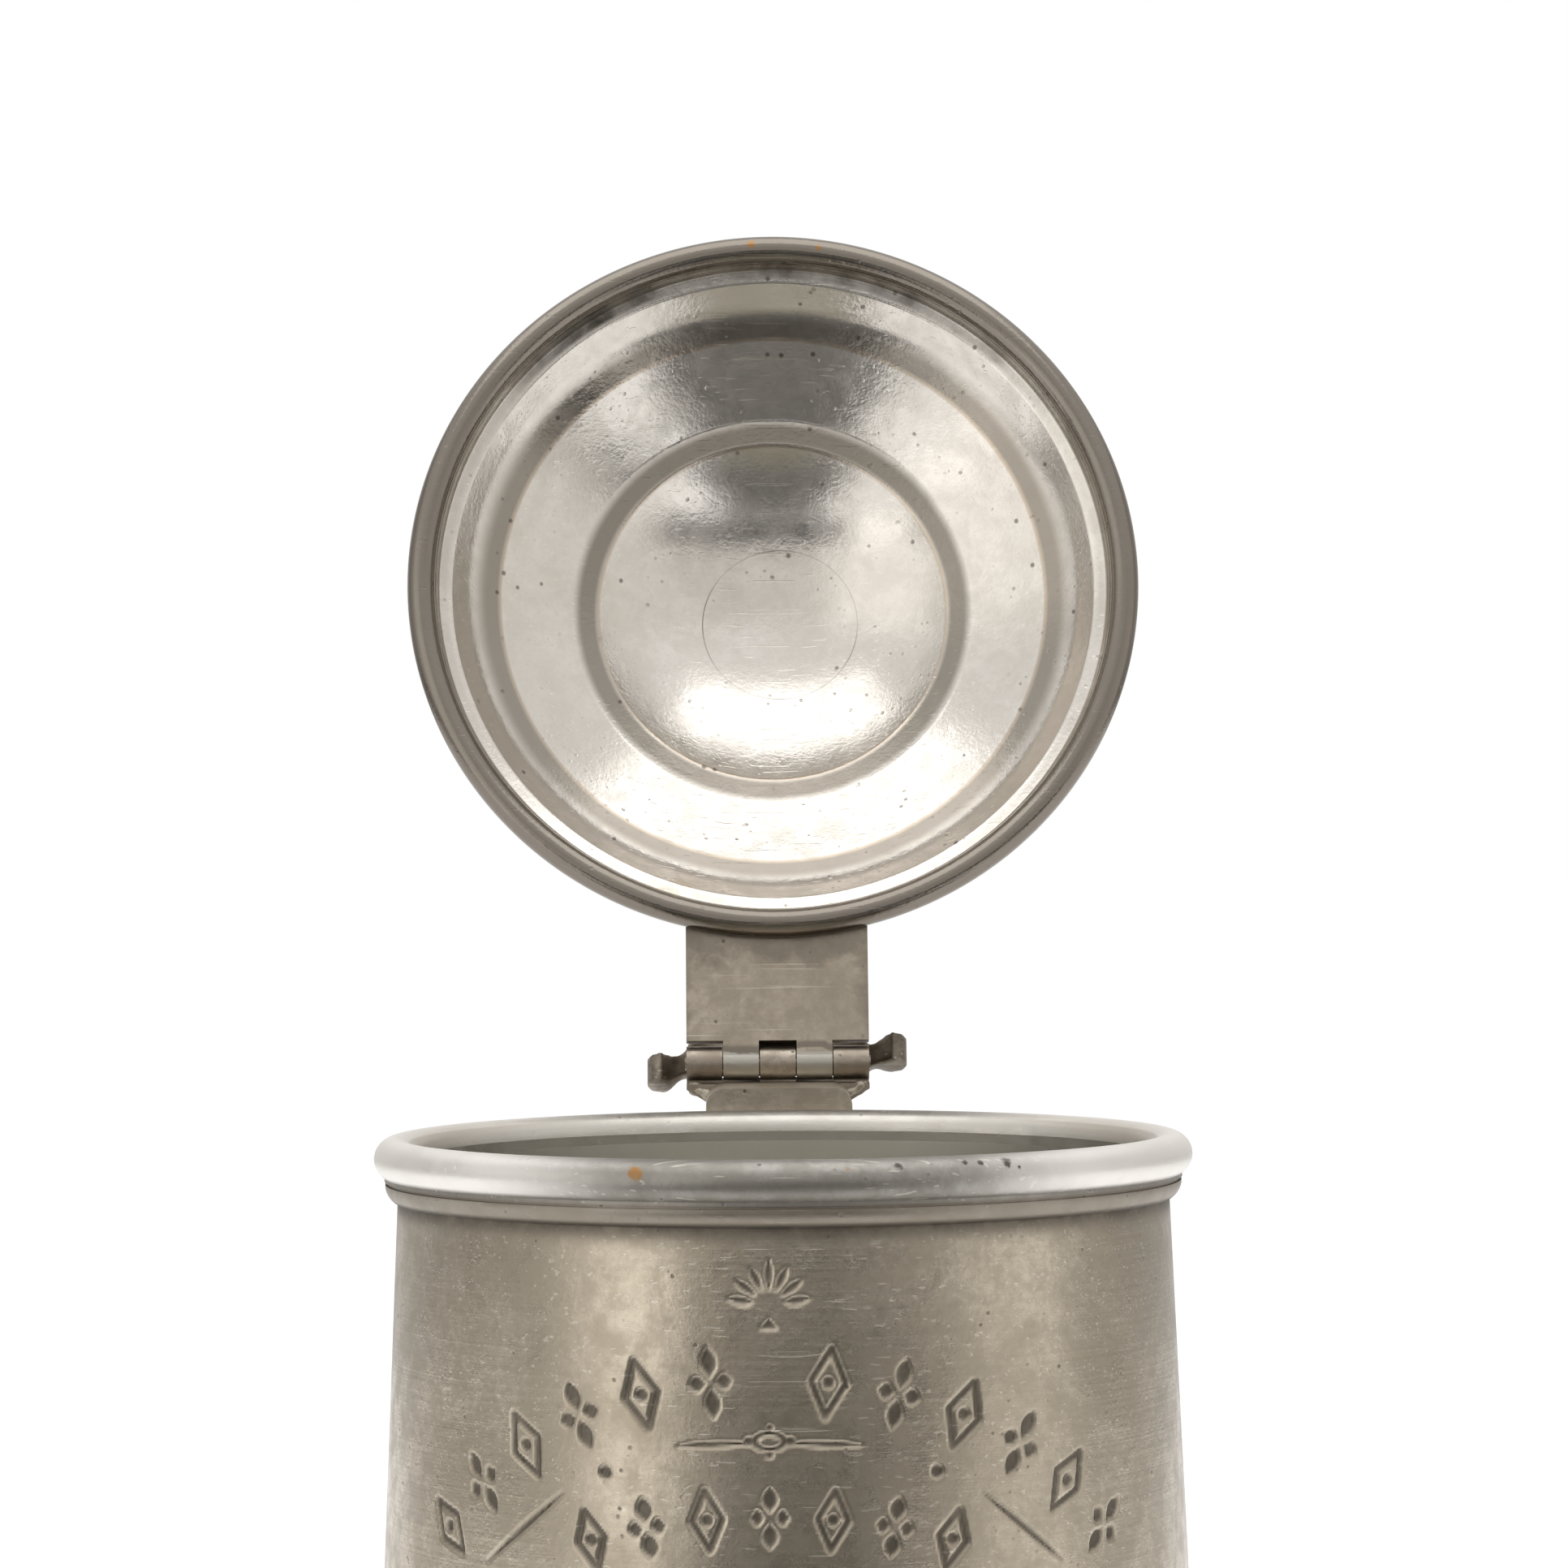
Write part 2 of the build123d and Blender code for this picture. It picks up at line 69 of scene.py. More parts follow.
# ---- nodes of a material ----
class Paint:
    """A material built one node at a time, on the Principled shader."""

    def __init__(self, name, **plain):
        self.material = bpy.data.materials.new(name)
        self.material.use_nodes = True
        self.nodes = self.material.node_tree.nodes
        self.links = self.material.node_tree.links
        self.shader = self.nodes["Principled BSDF"]
        for key, value in plain.items():
            self.shader.inputs[key.replace("_", " ")].default_value = value
        self.place = self.put("ShaderNodeTexCoord").outputs["Object"]

    def put(self, kind, inputs=(), **settings):
        node = self.nodes.new(kind)
        for key, value in settings.items():
            setattr(node, key, value)
        for key, value in dict(inputs).items():
            self.join(value, node.inputs[key])
        return node

    def join(self, value, socket):
        if isinstance(value, bpy.types.NodeSocket):
            self.links.new(value, socket)
        else:
            socket.default_value = value

    def calc(self, operation, *values):
        return self.put(
            "ShaderNodeMath", enumerate(values), operation=operation).outputs[0]

    def stretch(self, scale, turn=(0.0, 0.0, 0.0), place=None):
        return self.put("ShaderNodeMapping", {
            "Vector": place or self.place, "Scale": scale, "Rotation": turn}).outputs[0]

    def noise(self, scale, detail=4.0, rough=0.55, place=None, distortion=0.0):
        return self.put("ShaderNodeTexNoise", {
            "Vector": place or self.place, "Scale": scale, "Detail": detail,
            "Roughness": rough, "Distortion": distortion}).outputs[0]

    def rise(self, value, start, end, low=0.0, high=1.0):
        return self.put("ShaderNodeMapRange", {
            0: value, 1: start, 2: end, 3: low, 4: high},
            interpolation_type="SMOOTHSTEP").outputs[0]

    def between(self, value, a, b, c, d):
        return self.calc("MULTIPLY", self.rise(value, a, b), self.rise(value, c, d, 1.0, 0.0))

    def mix(self, amount, a, b):
        node = self.put("ShaderNodeMix", data_type="RGBA")
        self.join(amount, node.inputs[0])
        self.join(a, node.inputs[6])
        self.join(b, node.inputs[7])
        return node.outputs[2]

    def finish(self, colour, roughness, height, depth):
        self.join(colour, self.shader.inputs["Base Color"])
        self.join(roughness, self.shader.inputs["Roughness"])
        bump = self.put("ShaderNodeBump", {
            "Height": height, "Strength": 1.0, "Distance": depth})
        self.links.new(bump.outputs[0], self.shader.inputs["Normal"])
        return self.material


def rgb(red, green, blue):
    return (red, green, blue, 1.0)


GRIME = rgb(0.060, 0.052, 0.042)
RUST = rgb(0.31, 0.165, 0.060)
SCALE = rgb(0.62, 0.56, 0.47)
FRESH_METAL = rgb(0.72, 0.68, 0.60)
# Colour of the painted shade on the lid's cove and ledge rings.
PAINTED_RING_SHADE = rgb(0.26, 0.232, 0.195)
WARM_LINE = rgb(0.42, 0.32, 0.215)
# Colour of the painted shade on the lid's bead, and of its handled outside.
BEAD_SHADE_AND_HANDLING = rgb(0.195, 0.170, 0.143)


def pewter(name, light, dark, roughness=0.34, turned=1.0, wear=1.0, dirt=None, place=None,
           tone=None, stains=(), calm=None):
    """Aged pewter: cloudy patina, lathe lines, scratches, pits, stains and dirt in hollows.

    Where calm is 1 the surface is smooth and evenly matt.
    """
    p = Paint(name, Metallic=1.0)
    place = place or (lambda q: q.place)
    at = place(p)
    clouds = p.noise(CLOUDS, 5.0, 0.6, at, 0.6)
    mottle = p.noise(MOTTLE, 6.0, 0.62, at, 0.3)
    grain = p.noise(GRAIN, 3.0, 0.6, at)
    lines = p.noise(1.0, 3.0, 0.6, p.stretch(LATHE_LINES, place=at))
    scratches = []
    for turn in SCRATCH_TURNS:
        streak = p.noise(1.0, 1.0, 0.4, p.stretch(SCRATCH, turn, at))
        scratches.append(p.rise(streak, 0.705, 0.77))
    scratch = p.calc("MAXIMUM", p.calc("MAXIMUM", scratches[0], scratches[1]), scratches[2])
    cells = p.put("ShaderNodeTexVoronoi", {
        "Vector": at, "Scale": PIT_CELLS, "Randomness": 1.0}).outputs["Distance"]
    pits = p.calc("MULTIPLY", p.rise(cells, 0.10, 0.24, 1.0, 0.0), p.rise(mottle, 0.52, 0.66))
    rust = p.rise(p.noise(RUST_SPOTS, 5.0, 0.65, at, 0.4), 0.715, 0.77)

    body = p.mix(p.rise(clouds, 0.30, 0.70, 0.22, 1.0), dark, light)
    body = p.mix(p.calc("MULTIPLY", p.rise(mottle, 0.38, 0.60, 0.75, 0.0), wear), body, dark)
    fine = p.noise(FINE, 5.0, 0.7, at)
    body = p.mix(p.calc("MULTIPLY", p.rise(fine, 0.36, 0.60, 0.50, 0.0), wear), body, dark)
    body = p.mix(p.calc("MULTIPLY", p.rise(lines, 0.42, 0.66, 0.0, 0.16), turned), body, dark)
    body = p.mix(p.calc("MULTIPLY", scratch, 0.35), body, FRESH_METAL)
    body = p.mix(p.calc("MULTIPLY", pits, 0.75 * wear), body, GRIME)
    body = p.mix(p.calc("MULTIPLY", rust, 0.55 * wear), body, RUST)
    matt = p.calc("ADD", p.rise(mottle, 0.30, 0.75, roughness + 0.07, roughness - 0.05),
                 p.calc("MULTIPLY", pits, 0.2))
    height = p.calc("ADD", p.calc("MULTIPLY", lines, 0.20 * turned),
                   p.calc("MULTIPLY", mottle, 0.55))
    height = p.calc("ADD", height, p.calc("MULTIPLY", grain, 0.20))
    height = p.calc("SUBTRACT", height, p.calc("MULTIPLY", scratch, 0.10))
    height = p.calc("SUBTRACT", height, p.calc("MULTIPLY", pits, 0.30))
    if calm:
        marked = p.calc("SUBTRACT", 1.0, calm(p))
        height = p.calc("MULTIPLY", height, marked)
        uneven = p.calc("MULTIPLY", p.calc("SUBTRACT", matt, roughness), marked)
        matt = p.calc("ADD", uneven, roughness)
    # Some parts' tones paint light and shade into the colour.
    if tone:
        body = tone(p, at, body)
    for spot, size, tint in stains:
        away = p.put("ShaderNodeVectorMath", {0: at, 1: spot}, operation="DISTANCE")
        ragged = p.calc("ADD", away.outputs["Value"],
                       p.rise(mottle, 0.3, 0.7, -0.5 * size, 0.5 * size))
        body = p.mix(p.rise(ragged, 0.55 * size, size, 0.9, 0.0), body, tint)
    if dirt:
        amount = p.calc("MULTIPLY", dirt(p, at), p.rise(mottle, 0.25, 0.60, 0.65, 1.0))
        body = p.mix(amount, body, GRIME)
        matt = p.calc("ADD", matt, p.calc("MULTIPLY", amount, 0.28))
    return p.finish(body, matt, height, RELIEF)


def height_of(p, at):
    return p.put("ShaderNodeSeparateXYZ", {0: at}).outputs[2]


def closed_lid(p):
    """Coordinates of the lid as it lies when shut, so that its rings run round the axis."""
    return p.put("ShaderNodeVectorRotate", {
        "Vector": p.place, "Center": tuple(hinge_centre), "Angle": LID_OPEN},
        rotation_type="X_AXIS").outputs[0]


def radius_of(p, at):
    parts = p.put("ShaderNodeSeparateXYZ", {0: at}).outputs
    return p.calc("SQRT", p.calc("ADD", p.calc("MULTIPLY", parts[0], parts[0]),
                               p.calc("MULTIPLY", parts[1], parts[1])))


def drum_dirt(p, at):
    """Patina in the engraving, and grime where collar and foot meet the wall."""
    z = height_of(p, at)
    cut = p.put("ShaderNodeAttribute", attribute_name="engraved").outputs["Fac"]
    collar = p.rise(z, lip_low.z - 3.2 * MM, lip_low.z + 0.2 * MM, 0.0, 0.85)
    base = p.rise(z, foot_high.z, foot_high.z + 2.6 * MM, 0.8, 0.0)
    outside = p.calc("SUBTRACT", 1.0, inner_wall(p))
    seam = p.calc("MULTIPLY", p.calc("MAXIMUM", collar, base), outside)
    return p.calc("MAXIMUM", p.calc("MULTIPLY", cut, 0.82), seam)


def inner_wall(p):
    return p.put("ShaderNodeAttribute", attribute_name="inside").outputs["Fac"]


def drum_tone(p, at, body):
    """Painted light: the inside of the drum is painted far lighter than its outside, and only
    softly clouded.
    """
    # The near-white inner colour is painted light.
    bright = p.mix(p.noise(26.0, 1.0, 0.4, at), rgb(0.84, 0.81, 0.745), rgb(1.0, 0.975, 0.91))
    return p.mix(inner_wall(p), body, bright)


def lip_dirt(p, at):
    z = height_of(p, at)
    top = lip_high.z
    groove = p.between(z, top - 6.5 * MM, top - 6.2 * MM, top - 5.8 * MM, top - 5.5 * MM)
    under = p.rise(z, lip_low.z, lip_low.z + 0.8 * MM, 0.80, 0.0)
    return p.calc("MAXIMUM", p.calc("MULTIPLY", groove, 0.12), under)


def foot_dirt(p, at):
    z = height_of(p, at)
    return p.calc("MULTIPLY", p.between(z, 8.0 * MM, 9.3 * MM, 9.8 * MM, 11.2 * MM), 0.4)


def lid_dirt(p, at):
    """Tarnish in the crevice beside the bead, heaviest away from the hinge."""
    r = radius_of(p, at)
    y = p.put("ShaderNodeSeparateXYZ", {0: at}).outputs[1]
    crevice = p.between(r, 48.9 * MM, 49.7 * MM, 50.5 * MM, 51.2 * MM)
    patchy = p.rise(p.noise(48.0, 5.0, 0.6, at), 0.40, 0.62)
    far = p.rise(y, -46 * MM, -18 * MM, 0.75, 0.12)
    edge = p.calc("MULTIPLY", crevice, p.calc("MULTIPLY", far, p.calc("ADD", patchy, 0.35)))
    circle = p.put("ShaderNodeVectorMath", {
        0: p.put("ShaderNodeVectorMath", {0: at, 1: (1.0, 1.0, 0.0)},
                 operation="MULTIPLY").outputs[0],
        1: (1.2 * MM, 0.0, 0.0)}, operation="DISTANCE").outputs["Value"]
    scribed = p.between(circle, 11.88 * MM, 11.98 * MM, 12.02 * MM, 12.14 * MM)
    faint = p.rise(p.noise(60.0, 2.0, 0.5, at), 0.40, 0.58, 0.22, 0.75)
    return p.calc("MAXIMUM", edge, p.calc("MULTIPLY", scribed, faint))


def lid_tone(p, at, body):
    """Painted shade on the cove and ledge rings, warm edges, dark specks, painted shade on the
    bead, and a dark handled outside.
    """
    r = radius_of(p, at)
    # Painted shade: the cove and the ledge are painted darker as rings.
    cove = p.between(r, 41.2 * MM, 42.1 * MM, 43.4 * MM, 46.2 * MM)
    ledge = p.between(r, 26.5 * MM, 27.6 * MM, 29.3 * MM, 30.8 * MM)
    ring_shade = p.calc("MAXIMUM", p.calc("MULTIPLY", cove, 0.92), p.calc("MULTIPLY", ledge, 0.95))
    body = p.mix(ring_shade, body, PAINTED_RING_SHADE)
    warm = p.calc("MAXIMUM", p.between(r, 26.4 * MM, 26.7 * MM, 26.9 * MM, 27.2 * MM),
                 p.between(r, 41.2 * MM, 41.5 * MM, 41.7 * MM, 42.0 * MM))
    body = p.mix(p.calc("MULTIPLY", warm, 0.45), body, WARM_LINE)
    cells = p.put("ShaderNodeTexVoronoi", {"Vector": at, "Scale": 300.0}).outputs["Distance"]
    specks = p.calc("MULTIPLY", p.rise(cells, 0.07, 0.15, 1.0, 0.0),
                   p.rise(p.noise(90.0, 3.0, 0.6, at), 0.50, 0.58))
    body = p.mix(p.calc("MULTIPLY", specks, 0.7), body, GRIME)
    # Painted shade on the bead; the lid's outside is darkened as handled.
    outside = p.put("ShaderNodeAttribute", attribute_name="inside").outputs["Fac"]
    bead = p.calc("MAXIMUM", p.rise(r, 50.7 * MM, 51.5 * MM), outside)
    return p.mix(p.calc("MULTIPLY", bead, 0.94), body, BEAD_SHADE_AND_HANDLING)


def strap_tone(p, at, body):
    """Bright worn knuckles; painted shadow where the strap passes under the bead and in the
    slits round the knuckles; darker towards the sides.
    """
    parts = p.put("ShaderNodeSeparateXYZ", {0: at}).outputs
    across = p.calc("SUBTRACT", parts[1], hinge_centre.y)
    up = p.calc("SUBTRACT", parts[2], hinge_centre.z)
    away = p.calc("SQRT", p.calc("ADD", p.calc("MULTIPLY", across, across),
                               p.calc("MULTIPLY", up, up)))
    body = p.mix(p.rise(away, 2.55 * MM, 2.75 * MM, 0.85, 0.0), body, rgb(0.45, 0.43, 0.385))
    ragged = p.noise(150.0, 4.0, 0.6, at)
    # Painted shadow: the strap is darkened where the bead's shadow falls across it.
    reach = p.calc("ADD", parts[1], p.rise(ragged, 0.3, 0.7, -2.2 * MM, 2.2 * MM))
    shade = p.rise(reach, 56.4 * MM, 60.0 * MM, 0.66, 0.0)
    sides = p.calc("ADD", p.calc("ABSOLUTE", parts[0]),
                   p.rise(ragged, 0.3, 0.7, -1.2 * MM, 1.2 * MM))
    shade = p.calc("MAXIMUM", shade, p.rise(sides, 11.6 * MM, 13.6 * MM, 0.0, 0.50))
    uneven = p.rise(ragged, 0.35, 0.65, -0.25 * MM, 0.25 * MM)
    # Painted shadow in the slits round the knuckles.
    slit = p.between(p.calc("ADD", away, uneven), 2.7 * MM, 2.85 * MM, 3.2 * MM, 3.7 * MM)
    shade = p.calc("MAXIMUM", shade, p.calc("MULTIPLY", slit, 0.80))
    # This dark colour is the painted shadow, and the darker sides.
    return p.mix(shade, body, rgb(0.17, 0.148, 0.12))


def lip_tone(p, at, body):
    """The ovolo is darkened to match the drum, the bead's sides carry a painted highlight, and
    the inner face is painted lighter.
    """
    z = height_of(p, at)
    lower = p.rise(z, lip_high.z - 6.2 * MM, lip_high.z - 5.2 * MM, 0.80, 0.0)
    # Painted light: the lip's inner face is painted lighter, in place of the shade there.
    inner = p.rise(radius_of(p, at), 50.1 * MM, 50.5 * MM, 0.85, 0.0)
    body = p.mix(p.calc("MULTIPLY", lower, p.calc("SUBTRACT", 1.0, inner)), body,
                 rgb(0.30, 0.262, 0.212))
    x = p.put("ShaderNodeSeparateXYZ", {0: at}).outputs[0]
    # Painted highlight: the bead is painted lighter towards its sides.
    sides = p.rise(p.calc("ABSOLUTE", x), 18.0 * MM, 42.0 * MM, 0.0, 0.95)
    sides = p.calc("MULTIPLY", sides, p.rise(z, lip_high.z - 5.4 * MM, lip_high.z - 4.6 * MM))
    body = p.mix(sides, body, rgb(0.86, 0.83, 0.785))
    return p.mix(inner, body, rgb(0.58, 0.55, 0.50))


LIP_STAINS = [((-19.3 * MM, -51.3 * MM, 141.4 * MM), 1.05 * MM, RUST),
              ((7.6 * MM, -54.3 * MM, 142.2 * MM), 0.75 * MM, RUST),
              ((13.8 * MM, -52.6 * MM, 142.3 * MM), 0.90 * MM, GRIME),
              ((22.5 * MM, -49.6 * MM, 142.6 * MM), 0.60 * MM, GRIME),
              ((24.6 * MM, -48.6 * MM, 142.5 * MM), 0.60 * MM, GRIME),
              ((28.0 * MM, -46.9 * MM, 142.0 * MM), 1.05 * MM, GRIME),
              ((29.4 * MM, -46.2 * MM, 141.4 * MM), 0.65 * MM, GRIME),
              ((25.2 * MM, -47.6 * MM, 136.2 * MM), 0.55 * MM, SCALE)]
LID_STAINS = [((-2.9 * MM, -53.4 * MM, 143.6 * MM), 1.2 * MM, RUST),
              ((7.3 * MM, -52.6 * MM, 143.6 * MM), 0.7 * MM, RUST),
              ((-15.5 * MM, 47.0 * MM, 146.6 * MM), 3.4 * MM, SCALE)]

paints = {
    "drum": pewter("pewter_drum_aged", rgb(0.60, 0.53, 0.43), rgb(0.35, 0.302, 0.235),
                   0.26, 1.0, 0.85, drum_dirt, None, drum_tone, (), inner_wall),
    "lip_moulding": pewter("pewter_lip_worn_and_lit", rgb(0.345, 0.33, 0.305),
                           rgb(0.24, 0.223, 0.195), 0.41, 0.8, 1.0, lip_dirt, None, lip_tone,
                           LIP_STAINS),
    "foot": pewter("pewter_foot_aged", rgb(0.52, 0.46, 0.375), rgb(0.33, 0.28, 0.22),
                   0.34, 0.9, 0.9, foot_dirt),
    "handle": pewter("pewter_handle_cast", rgb(0.58, 0.525, 0.44), rgb(0.36, 0.315, 0.25),
                     0.38, 0.0, 1.0),
    "hinge_bracket": pewter("pewter_hinge_dark", rgb(0.50, 0.44, 0.37),
                            rgb(0.26, 0.22, 0.175), 0.42, 0.0, 1.0),
    "lid_cover": pewter("pewter_lid_bright", rgb(0.72, 0.68, 0.63),
                        rgb(0.56, 0.52, 0.465), 0.17, 0.30, 0.55, lid_dirt, closed_lid,
                        lid_tone, LID_STAINS),
    "lid_strap": pewter("pewter_strap_aged", rgb(0.50, 0.435, 0.355), rgb(0.30, 0.258, 0.203),
                        0.38, 0.0, 1.0, None, closed_lid, strap_tone),
    # The thumbpiece's dark colour also paints the shade on the scooped undersides of the wings.
    "thumbpiece": pewter("pewter_thumb_grainy", rgb(0.33, 0.285, 0.235),
                         rgb(0.13, 0.11, 0.085), 0.45, 0.0, 1.0, None, closed_lid),
    "hinge_solder": pewter("solder_soft", rgb(0.50, 0.455, 0.385), rgb(0.27, 0.235, 0.185),
                           0.48, 0.0, 0.9),
    "hinge_pin": pewter("pin_wire_dark", rgb(0.40, 0.36, 0.30), rgb(0.22, 0.19, 0.15),
                        0.38, 0.0, 0.8)}
for follower, leader in (("handle_strut", "handle"), ("handle_terminal", "handle"),
                         ("glass_bezel", "foot")):
    paints[follower] = paints[leader]


def glass():
    """Clear glass with a faint green cast and a slightly uneven surface."""
    p = Paint("glass_clear", Transmission_Weight=1.0, IOR=1.5)
    colour = p.mix(p.noise(60.0), rgb(0.90, 0.96, 0.92), rgb(0.95, 0.98, 0.95))
    return p.finish(colour, p.rise(p.noise(400.0), 0.3, 0.8, 0.01, 0.06), p.noise(45.0), 5e-5)


def putty():
    """Dry, grainy glazing putty."""
    p = Paint("putty_dry", Metallic=0.0)
    colour = p.mix(p.noise(500.0, 6.0), rgb(0.26, 0.23, 0.18), rgb(0.44, 0.40, 0.33))
    return p.finish(colour, 0.85, p.noise(1200.0, 6.0), 2e-4)


paints["glass_bottom"] = glass()
paints["glass_bedding"] = putty()
for name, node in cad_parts.items():
    for entry in node.material_slots:
        entry.link = "OBJECT"
        entry.material = paints[name]


# ---- engraved ornament, in millimetres on the unrolled drum ----
ORNAMENT_TURN = math.radians(-2.7)
ORNAMENT_RADIUS = 53.4          # radius at which the drum is unrolled
ORNAMENT_HALF = 1.08            # half the angle of the fine grid, in radians
ORNAMENT_EDGE = 1.05            # beyond this angle nothing is cut
ORNAMENT_BOTTOM, ORNAMENT_TOP = 72.0, 132.0
ENGRAVED = 0.35                 # depth
SLOPE_OF_CUT = 0.36             # width of a cut's sloping side
PETAL = 0.95                    # half the width of a flower's petal
RING_STRETCH = 1.9              # the middle ring is this many times wider than tall


def leaf(s, z, start, end, half):
    """Signed distance, roughly, to a pointed leaf from start to end."""
    ds, dz = end[0] - start[0], end[1] - start[1]
    length = math.hypot(ds, dz)
    t = np.clip(((s - start[0]) * ds + (z - start[1]) * dz) / length ** 2, 0.0, 1.0)
    away = np.hypot(s - start[0] - t * ds, z - start[1] - t * dz)
    return away - half * np.sin(math.pi * np.clip(t, 0.03, 0.97)) ** 0.75


def bar(s, z, start, end, half):
    """Signed distance to a round-ended stroke."""
    ds, dz = end[0] - start[0], end[1] - start[1]
    t = np.clip(((s - start[0]) * ds + (z - start[1]) * dz) / (ds * ds + dz * dz), 0.0, 1.0)
    return np.hypot(s - start[0] - t * ds, z - start[1] - t * dz) - half


def around(middle, angle, length):
    """Point at a length from the middle, at an angle in degrees from straight up."""
    return (middle[0] + length * math.sin(math.radians(angle)),
            middle[1] + length * math.cos(math.radians(angle)))


def palmette(s, z, middle, size, upward):
    """Fan of seven petals."""
    shapes = []
    for index in range(-3, 4):
        angle = index * 27.0 + (0.0 if upward else 180.0)
        petal = size * (1.0 if index == 0 else 0.94)
        shapes.append(leaf(s, z, around(middle, angle, 2.1), around(middle, angle, petal),
                           0.46))
    return shapes


def flower(s, z, middle, size, lean):
    """Four pointed petals about a small eye."""
    return [leaf(s, z, around(middle, lean + quarter, 0.9),
                 around(middle, lean + quarter, size * (1.0 if quarter % 180 == 0 else 0.62)),
                 PETAL)
            for quarter in (0, 90, 180, 270)]


def lozenge(s, z, middle, size, lean):
    """Tall outlined diamond with a dot in it."""
    corners = [around(middle, lean + a, size * (1.0 if a % 180 == 0 else 0.52))
               for a in (0, 90, 180, 270)]
    shapes = [bar(s, z, corners[i], corners[(i + 1) % 4], 0.42) for i in range(4)]
    return shapes + [bar(s, z, middle, (middle[0], middle[1] + 0.01), 0.75)]


def garland(s, z, radius, bottom, angles, size):
    """Flowers and diamonds by turns along an arc."""
    shapes = []
    for index, angle in enumerate(angles):
        motif = flower if index % 2 else lozenge
        shapes += motif(s, z, around((0.0, bottom), angle, radius), size, angle)
    return shapes


def ornament(s, z):
    """Signed distance to the nearest cut of the whole ornament."""
    shapes = palmette(s, z, (0.0, 124.8), 5.6, True)
    shapes += palmette(s, z, (0.0, 82.5), 5.6, False)
    for side in (-1, 1):
        shapes.append(leaf(s, z, (side * 2.4, 107.6), (side * 11.8, 107.2), 0.34))
        shapes.append(bar(s, z, (side * 2.7, 107.8), (side * 2.71, 107.8), 0.55))
        shapes.append(bar(s, z, (0.0, 107.8 + side * 1.7), (0.01, 107.8 + side * 1.7), 0.40))
        shapes.append(bar(s, z, (side * 21.6, 103.5), (side * 21.61, 103.5), 0.8))
        shapes.append(leaf(s, z, (side * 40.2, 91.0), (side * 27.7, 100.6), 0.32))
    ring = np.hypot(s / RING_STRETCH, z - 107.8)
    shapes.append(np.abs(ring - 1.0) - 0.22)
    shapes.append(np.maximum(np.abs(s) * 1.2 + (z - 122.4) - 0.75, 121.8 - z))
    steps = [6.5 + 8.0 * index for index in range(6)]
    shapes += garland(s, z, 66.7, 48.8, [-a for a in reversed(steps)] + steps, 4.3)
    shapes += garland(s, z, 84.3, 14.0, [5.4 * index for index in range(-3, 4)], 3.7)
    return np.minimum.reduce(shapes)


def smooth(value):
    value = np.clip(value, 0.0, 1.0)
    return value * value * (3.0 - 2.0 * value)


def drum_columns():
    """Angles round the drum, close together where the ornament is."""
    front = np.linspace(-ORNAMENT_HALF, ORNAMENT_HALF, 375)
    back = np.linspace(ORNAMENT_HALF, 2.0 * math.pi - ORNAMENT_HALF, 82)[1:-1]
    return np.concatenate([front, back]) + ORNAMENT_TURN


def engraved_drum():
    """The drum as one closed mesh, with the ornament cut into its outside."""
    angles = drum_columns()
    low, high = drum_low.z / MM, drum_high.z / MM
    rows = np.concatenate([
        np.linspace(low, ORNAMENT_BOTTOM, 8)[:-1],
        np.linspace(ORNAMENT_BOTTOM, ORNAMENT_TOP, 187),
        np.linspace(ORNAMENT_TOP, high, 5)[1:]])
    turn, tall = np.meshgrid(angles, rows)
    base_radius = drum_high.x / MM
    radius = base_radius - (tall - low) * TAPER
    off = (turn - ORNAMENT_TURN + math.pi) % (2 * math.pi) - math.pi
    away = ornament(off * ORNAMENT_RADIUS, tall)
    cut = np.where(np.abs(off) < ORNAMENT_EDGE, smooth(0.5 - away / SLOPE_OF_CUT), 0.0)
    radius = radius - ENGRAVED * cut
    inner_rows = np.unique(np.concatenate([rows[::-16], [low, high]]))[::-1]
    turn_in, tall_in = np.meshgrid(angles, inner_rows)
    radius_in = base_radius - (tall_in - low) * TAPER - WALL / MM
    turn = np.vstack([turn, turn_in])
    tall = np.vstack([tall, tall_in])
    radius = np.vstack([radius, radius_in])
    cut = np.vstack([cut, np.zeros_like(turn_in)])
    inside = np.vstack([np.zeros((len(rows), len(angles))), np.ones_like(turn_in)])
    points = np.stack(
        [radius * np.sin(turn), -radius * np.cos(turn), tall], axis=-1) * MM
    return lattice("drum_engraved", points, cut, inside)


def lattice(name, points, cut, inside):
    """Closed mesh from rows of points round the axis, the last row joined to the first."""
    count, width = points.shape[:2]
    here = np.arange(count * width).reshape(count, width)
    up = np.roll(here, -1, axis=0)
    quads = np.stack([here, np.roll(here, -1, axis=1), np.roll(up, -1, axis=1), up], axis=-1)
    mesh = bpy.data.meshes.new(name)
    mesh.vertices.add(count * width)
    mesh.vertices.foreach_set("co", points.astype(np.float32).ravel())
    mesh.loops.add(quads.size)
    mesh.loops.foreach_set("vertex_index", quads.astype(np.int32).ravel())
    mesh.polygons.add(count * width)
    mesh.polygons.foreach_set("loop_start", np.arange(0, quads.size, 4, dtype=np.int32))
    mesh.update(calc_edges=True)
    for key, values in (("engraved", cut), ("inside", inside)):
        layer = mesh.attributes.new(key, "FLOAT", "POINT")
        layer.data.foreach_set("value", values.astype(np.float32).ravel())
    return finished(mesh, name, 50)


